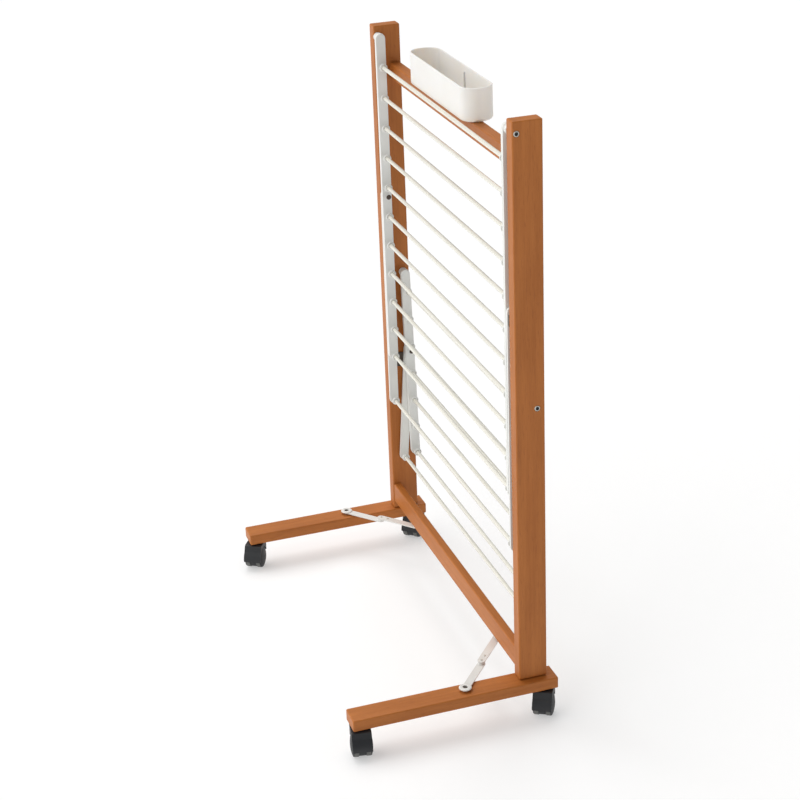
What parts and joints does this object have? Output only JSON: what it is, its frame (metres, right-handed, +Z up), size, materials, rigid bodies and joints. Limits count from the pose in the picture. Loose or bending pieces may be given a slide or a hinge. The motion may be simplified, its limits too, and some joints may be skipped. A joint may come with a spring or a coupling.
{
  "type": "clothes drying rack",
  "caption": "Folding wooden clothes drying rack on casters with hinged front and rear wings of white rods, stays that prop them open, folding feet and a peg tray.",
  "frame": {"origin": "centre of the footprint, on the floor", "axes": "+Z up, +X along the crossbars to the rack's right-hand post, -Y to the front where the feet point and the front wing opens"},
  "size_m": [0.7384, 0.3806, 1.0302],
  "materials": {
    "wood": "satin",
    "white_plastic": "satin",
    "coated_steel": "satin",
    "painted_steel": "satin",
    "steel": "satin",
    "dark_plastic": "matte",
    "black_plastic": "satin",
    "tread": "matte",
    "tray_plastic": "satin"
  },
  "bodies": {
    "frame": {"post_right": "wood", "post_left": "wood", "crossbar_upper": "wood", "crossbar_lower": "wood", "front_pivot_bolt_right": "steel", "front_pivot_spacer_right": "white_plastic", "front_catch_right": "dark_plastic", "front_pivot_bolt_left": "steel", "front_pivot_spacer_left": "white_plastic", "front_catch_left": "dark_plastic", "rear_pivot_bolt_right": "steel", "rear_pivot_spacer_right": "white_plastic", "rear_catch_right": "dark_plastic", "rear_pivot_bolt_left": "steel", "rear_pivot_spacer_left": "white_plastic", "rear_catch_left": "dark_plastic"},
    "front_wing": {"front_rail_right": "white_plastic", "front_rail_left": "white_plastic", "front_rod_01": "coated_steel", "front_rod_02": "coated_steel", "front_rod_03": "coated_steel", "front_rod_04": "coated_steel", "front_rod_05": "coated_steel", "front_rod_06": "coated_steel", "front_rod_07": "coated_steel", "front_rod_08": "coated_steel", "front_rod_09": "coated_steel", "front_rod_10": "coated_steel", "front_rod_11": "coated_steel"},
    "front_stay": {"front_stay_bar_right": "white_plastic", "front_stay_bar_left": "white_plastic", "front_stay_rod": "coated_steel"},
    "rear_wing": {"rear_rail_right": "white_plastic", "rear_rail_left": "white_plastic", "rear_rod_01": "coated_steel", "rear_rod_02": "coated_steel", "rear_rod_03": "coated_steel", "rear_rod_04": "coated_steel", "rear_rod_05": "coated_steel", "rear_rod_06": "coated_steel", "rear_rod_07": "coated_steel"},
    "rear_stay": {"rear_stay_bar_right": "white_plastic", "rear_stay_bar_left": "white_plastic", "rear_stay_rod": "coated_steel"},
    "foot_right": {"foot_right": "wood"},
    "brace_foot_link_right": {"brace_foot_link_right": "painted_steel"},
    "brace_bar_link_right": {"brace_bar_link_right": "painted_steel"},
    "caster_right_front": {"caster_housing_right_front": "black_plastic"},
    "caster_wheels_right_front": {"caster_wheels_right_front": "tread"},
    "caster_right_rear": {"caster_housing_right_rear": "black_plastic"},
    "caster_wheels_right_rear": {"caster_wheels_right_rear": "tread"},
    "foot_left": {"foot_left": "wood"},
    "brace_foot_link_left": {"brace_foot_link_left": "painted_steel"},
    "brace_bar_link_left": {"brace_bar_link_left": "painted_steel"},
    "caster_left_front": {"caster_housing_left_front": "black_plastic"},
    "caster_wheels_left_front": {"caster_wheels_left_front": "tread"},
    "caster_left_rear": {"caster_housing_left_rear": "black_plastic"},
    "caster_wheels_left_rear": {"caster_wheels_left_rear": "tread"},
    "peg_tray": {"peg_tray": "tray_plastic"}
  },
  "joints": [
    {"name": "front_wing_hinge", "type": "hinge", "parent": "frame", "child": "front_wing", "pos_m": [-0.0093, 0.1278, 1.011], "axis": [-1, 0, 0], "range_deg": [0, 90]},
    {"name": "front_stay_hinge", "type": "hinge", "parent": "front_wing", "child": "front_stay", "pos_m": [-0.0093, 0.1278, 0.721], "axis": [1, 0, 0], "range_deg": [0, 135]},
    {"name": "rear_wing_hinge", "type": "hinge", "parent": "frame", "child": "rear_wing", "pos_m": [-0.0093, 0.157, 0.564], "axis": [1, 0, 0], "range_deg": [0, 88.84]},
    {"name": "rear_stay_hinge", "type": "hinge", "parent": "rear_wing", "child": "rear_stay", "pos_m": [-0.0093, 0.1601, 0.41103], "axis": [-1, 0, 0], "range_deg": [0, 129.56]},
    {"name": "foot_right_fold", "type": "hinge", "parent": "frame", "child": "foot_right", "pos_m": [0.3257, 0.1453, 0.071], "axis": [0, 0, -1], "range_deg": [0, 84.59]},
    {"name": "brace_bar_hinge_right", "type": "hinge", "parent": "frame", "child": "brace_bar_link_right", "pos_m": [0.2087, 0.1298, 0.0805], "axis": [0, 0, 1], "range_deg": [0, 47.74]},
    {"name": "brace_foot_hinge_right", "type": "hinge", "parent": "foot_right", "child": "brace_foot_link_right", "pos_m": [0.3301, 0.0273, 0.0745], "axis": [0, 0, -1], "range_deg": [0, 47.74]},
    {"name": "caster_right_front_swivel", "type": "hinge", "parent": "foot_right", "child": "caster_right_front", "pos_m": [0.3301, -0.1572, 0.045], "axis": [0, 0, 1], "continuous": true},
    {"name": "caster_right_front_roll", "type": "hinge", "parent": "caster_right_front", "child": "caster_wheels_right_front", "pos_m": [0.3429, -0.15946, 0.02], "axis": [0.1736, 0.9848, 0], "continuous": true},
    {"name": "caster_right_rear_swivel", "type": "hinge", "parent": "foot_right", "child": "caster_right_rear", "pos_m": [0.3301, 0.1688, 0.045], "axis": [0, 0, 1], "continuous": true},
    {"name": "caster_right_rear_roll", "type": "hinge", "parent": "caster_right_rear", "child": "caster_wheels_right_rear", "pos_m": [0.34124, 0.1621, 0.02], "axis": [0.515, 0.8572, 0], "continuous": true},
    {"name": "foot_left_fold", "type": "hinge", "parent": "frame", "child": "foot_left", "pos_m": [-0.3443, 0.1453, 0.071], "axis": [0, 0, 1], "range_deg": [0, 84.59]},
    {"name": "brace_bar_hinge_left", "type": "hinge", "parent": "frame", "child": "brace_bar_link_left", "pos_m": [-0.2273, 0.1298, 0.0805], "axis": [0, 0, -1], "range_deg": [0, 47.74]},
    {"name": "brace_foot_hinge_left", "type": "hinge", "parent": "foot_left", "child": "brace_foot_link_left", "pos_m": [-0.3487, 0.0273, 0.0745], "axis": [0, 0, 1], "range_deg": [0, 47.74]},
    {"name": "caster_left_front_swivel", "type": "hinge", "parent": "foot_left", "child": "caster_left_front", "pos_m": [-0.3487, -0.1572, 0.045], "axis": [0, 0, 1], "continuous": true},
    {"name": "caster_left_front_roll", "type": "hinge", "parent": "caster_left_front", "child": "caster_wheels_left_front", "pos_m": [-0.33768, -0.16409, 0.02], "axis": [0.5299, 0.848, 0], "continuous": true},
    {"name": "caster_left_rear_swivel", "type": "hinge", "parent": "foot_left", "child": "caster_left_rear", "pos_m": [-0.3487, 0.1688, 0.045], "axis": [0, 0, 1], "continuous": true},
    {"name": "caster_left_rear_roll", "type": "hinge", "parent": "caster_left_rear", "child": "caster_wheels_left_rear", "pos_m": [-0.33874, 0.16044, 0.02], "axis": [0.6428, 0.766, 0], "continuous": true},
    {"name": "tray_lift", "type": "slide", "parent": "frame", "child": "peg_tray", "axis": [0, 0, 1], "range_m": [0, 0.12]}
  ],
  "couplings": [
    {"joint": "front_stay_hinge", "follows": "front_wing_hinge", "ratio": 1.5},
    {"joint": "rear_stay_hinge", "follows": "rear_wing_hinge", "ratio": 1.4581},
    {"joint": "brace_bar_hinge_right", "follows": "foot_right_fold", "ratio": 0.5642},
    {"joint": "brace_foot_hinge_right", "follows": "foot_right_fold", "ratio": 0.5642},
    {"joint": "brace_bar_hinge_left", "follows": "foot_left_fold", "ratio": 0.5642},
    {"joint": "brace_foot_hinge_left", "follows": "foot_left_fold", "ratio": 0.5642}
  ]
}
